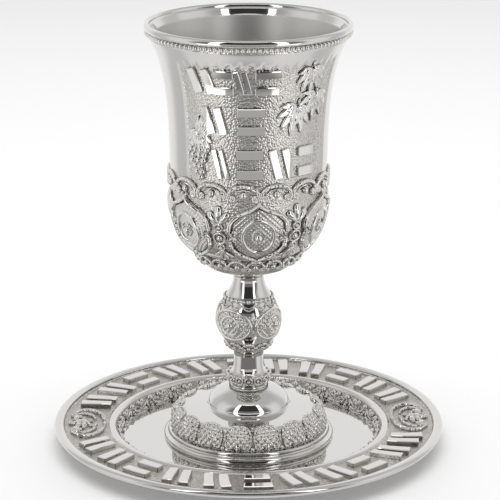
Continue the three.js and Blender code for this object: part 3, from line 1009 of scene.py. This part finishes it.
studio = {
    "floor": 16,            # m across
    "floorShade": 0.93,
    # the white room: its brightness from in front of the cup round to behind it, and overhead
    "roomAround": [(-0.62, 0.22), (-0.28, 0.9), (0.05, 0.86), (0.28, 0.66), (0.48, 0.68), (0.75, 0.98)],
    "roomTop": 0.58,
    "roomTopFrom": (0.5, 0.85),
    "roomSeen": 0.97,
    # cards that only reflections see: path of (distance, height), directions it runs between, brightness
    "cards": {
        "frontFloor": ([(0.20, 0.002), (0.42, 0.004), (0.46, 0.03)], -30, 30, 0.45),
        "frontEdge": ([(0.46, 0.03), (0.465, 0.055)], -30, 30, 1.3),
        "frontShade": ([(0.465, 0.055), (0.465, 0.2)], -30, 30, 0.2),
        "frontOpening": ([(0.465, 0.2), (0.465, 0.25), (0.39, 0.40), (0.27, 0.50)], -30, 30, 0.04),
        "frontTop": ([(0.27, 0.50), (0.23, 0.52)], -30, 30, 1.5),
        "leftStrip": ([(0.20, 0.002), (0.42, 0.004), (0.46, 0.02)], -58, -30.5, 1.6),
        "rightStrip": ([(0.20, 0.002), (0.42, 0.004), (0.46, 0.02)], 30.5, 58, 1.6),
        "leftWindow": ([(0.46, 0.02), (0.46, 0.25), (0.38, 0.41), (0.27, 0.50)], -42, -30.5, 2.2),
        "rightWindow": ([(0.46, 0.02), (0.46, 0.25), (0.38, 0.41), (0.27, 0.50)], 30.5, 42, 2.2),
    },
    "overhead": 7.0,        # W
    "overheadSize": 1.2,
    "overheadPlace": (0, 0.1, 0.95),
    "cameraPlace": (0, -0.7018, 0.278),
    "cameraTilt": 16.74,    # degrees down from level
    "cameraShift": 0.0028,
    "lens": 157.68,
    "sensor": 36,
}


def paleFloor():
    material = bpy.data.materials.new("paleFloor")
    material.use_nodes = True
    shader = material.node_tree.nodes["Principled BSDF"]
    shade = studio["floorShade"]
    shader.inputs["Base Color"].default_value = (shade, shade, shade, 1)
    shader.inputs["Roughness"].default_value = 0.9
    shader.inputs["Specular IOR Level"].default_value = 0.1
    return material


def glow(name, light):
    material = bpy.data.materials.new(name)
    material.use_nodes = True
    nodes, links = material.node_tree.nodes, material.node_tree.links
    nodes.remove(nodes["Principled BSDF"])
    emission = nodes.new("ShaderNodeEmission")
    emission.inputs["Strength"].default_value = light
    links.new(emission.outputs[0], nodes["Material Output"].inputs["Surface"])
    return material


def stageObject(name, bm, material):
    mesh = bpy.data.meshes.new(name)
    bm.to_mesh(mesh)
    bm.free()
    thing = bpy.data.objects.new(name, mesh)
    mesh.materials.append(material)
    scene.collection.objects.link(thing)
    return thing


def curvedCard(name, path, start, end, light):
    across, ahead = math.sin(math.radians(start)), -math.cos(math.radians(start))
    bm = bmesh.new()
    spine = [bm.verts.new((radius * across, radius * ahead, height)) for radius, height in path]
    edges = [bm.edges.new(pair) for pair in zip(spine, spine[1:])]
    bmesh.ops.spin(bm, geom=spine + edges, cent=(0, 0, 0), axis=(0, 0, 1),
                   angle=math.radians(end - start), steps=12)
    card = stageObject(name, bm, glow(name, light))
    card.visible_camera = False
    card.visible_diffuse = False
    card.visible_shadow = False


def buildRoom():
    bm = bmesh.new()
    bmesh.ops.create_circle(bm, cap_ends=True, segments=64, radius=studio["floor"] / 2,
                            matrix=Matrix.Translation((0, 0, -0.2 * mm)))
    stageObject("studioFloor", bm, paleFloor()).visible_glossy = False
    for name, card in studio["cards"].items():
        curvedCard(name, *card)
    lamp = bpy.data.objects.new("overhead", bpy.data.lights.new("overhead", "AREA"))
    lamp.data.size = studio["overheadSize"]
    lamp.data.energy = studio["overhead"]
    lamp.location = studio["overheadPlace"]
    lamp.visible_glossy = False
    scene.collection.objects.link(lamp)


def buildWorld():
    world = bpy.data.worlds.new("whiteRoom")
    world.use_nodes = True
    nodes, links = world.node_tree.nodes, world.node_tree.links
    background = nodes["Background"]
    split = nodes.new("ShaderNodeSeparateXYZ")
    links.new(nodes.new("ShaderNodeTexCoord").outputs["Generated"], split.inputs[0])

    around = nodes.new("ShaderNodeValToRGB").color_ramp
    around.interpolation = "EASE"
    while len(around.elements) < len(studio["roomAround"]):
        around.elements.new(0.5)
    for stop, (place, light) in zip(around.elements, studio["roomAround"]):
        stop.position = place / 2 + 0.5
        stop.color = (light, light, light, 1)
    back = nodes.new("ShaderNodeMapRange")
    back.inputs["From Min"].default_value = -1
    links.new(split.outputs["Y"], back.inputs["Value"])
    links.new(back.outputs["Result"], nodes["Color Ramp"].inputs["Fac"])
    height = nodes.new("ShaderNodeMapRange")
    height.interpolation_type = "SMOOTHSTEP"
    for socket, level in zip(("From Min", "From Max"), studio["roomTopFrom"]):
        height.inputs[socket].default_value = level
    links.new(split.outputs["Z"], height.inputs["Value"])
    seen = nodes.new("ShaderNodeLightPath").outputs["Is Camera Ray"]
    colour = nodes["Color Ramp"].outputs["Color"]
    for share, light in ((height.outputs["Result"], studio["roomTop"]), (seen, studio["roomSeen"])):
        mix = nodes.new("ShaderNodeMix")
        mix.data_type = "RGBA"
        mix.inputs[7].default_value = (light, light, light, 1)
        links.new(share, mix.inputs[0])
        links.new(colour, mix.inputs[6])
        colour = mix.outputs[2]
    links.new(colour, background.inputs["Color"])
    scene.world = world
    scene.view_settings.view_transform = "Standard"


def buildCamera():
    camera = bpy.data.objects.new("camera", bpy.data.cameras.new("camera"))
    camera.data.lens = studio["lens"]
    camera.data.sensor_width = studio["sensor"]
    camera.data.shift_x = studio["cameraShift"]
    camera.location = studio["cameraPlace"]
    camera.rotation_euler = (math.radians(90 - studio["cameraTilt"]), 0, 0)
    scene.collection.objects.link(camera)
    scene.camera = camera


buildRoom()
buildWorld()
buildCamera()
print("studio done")
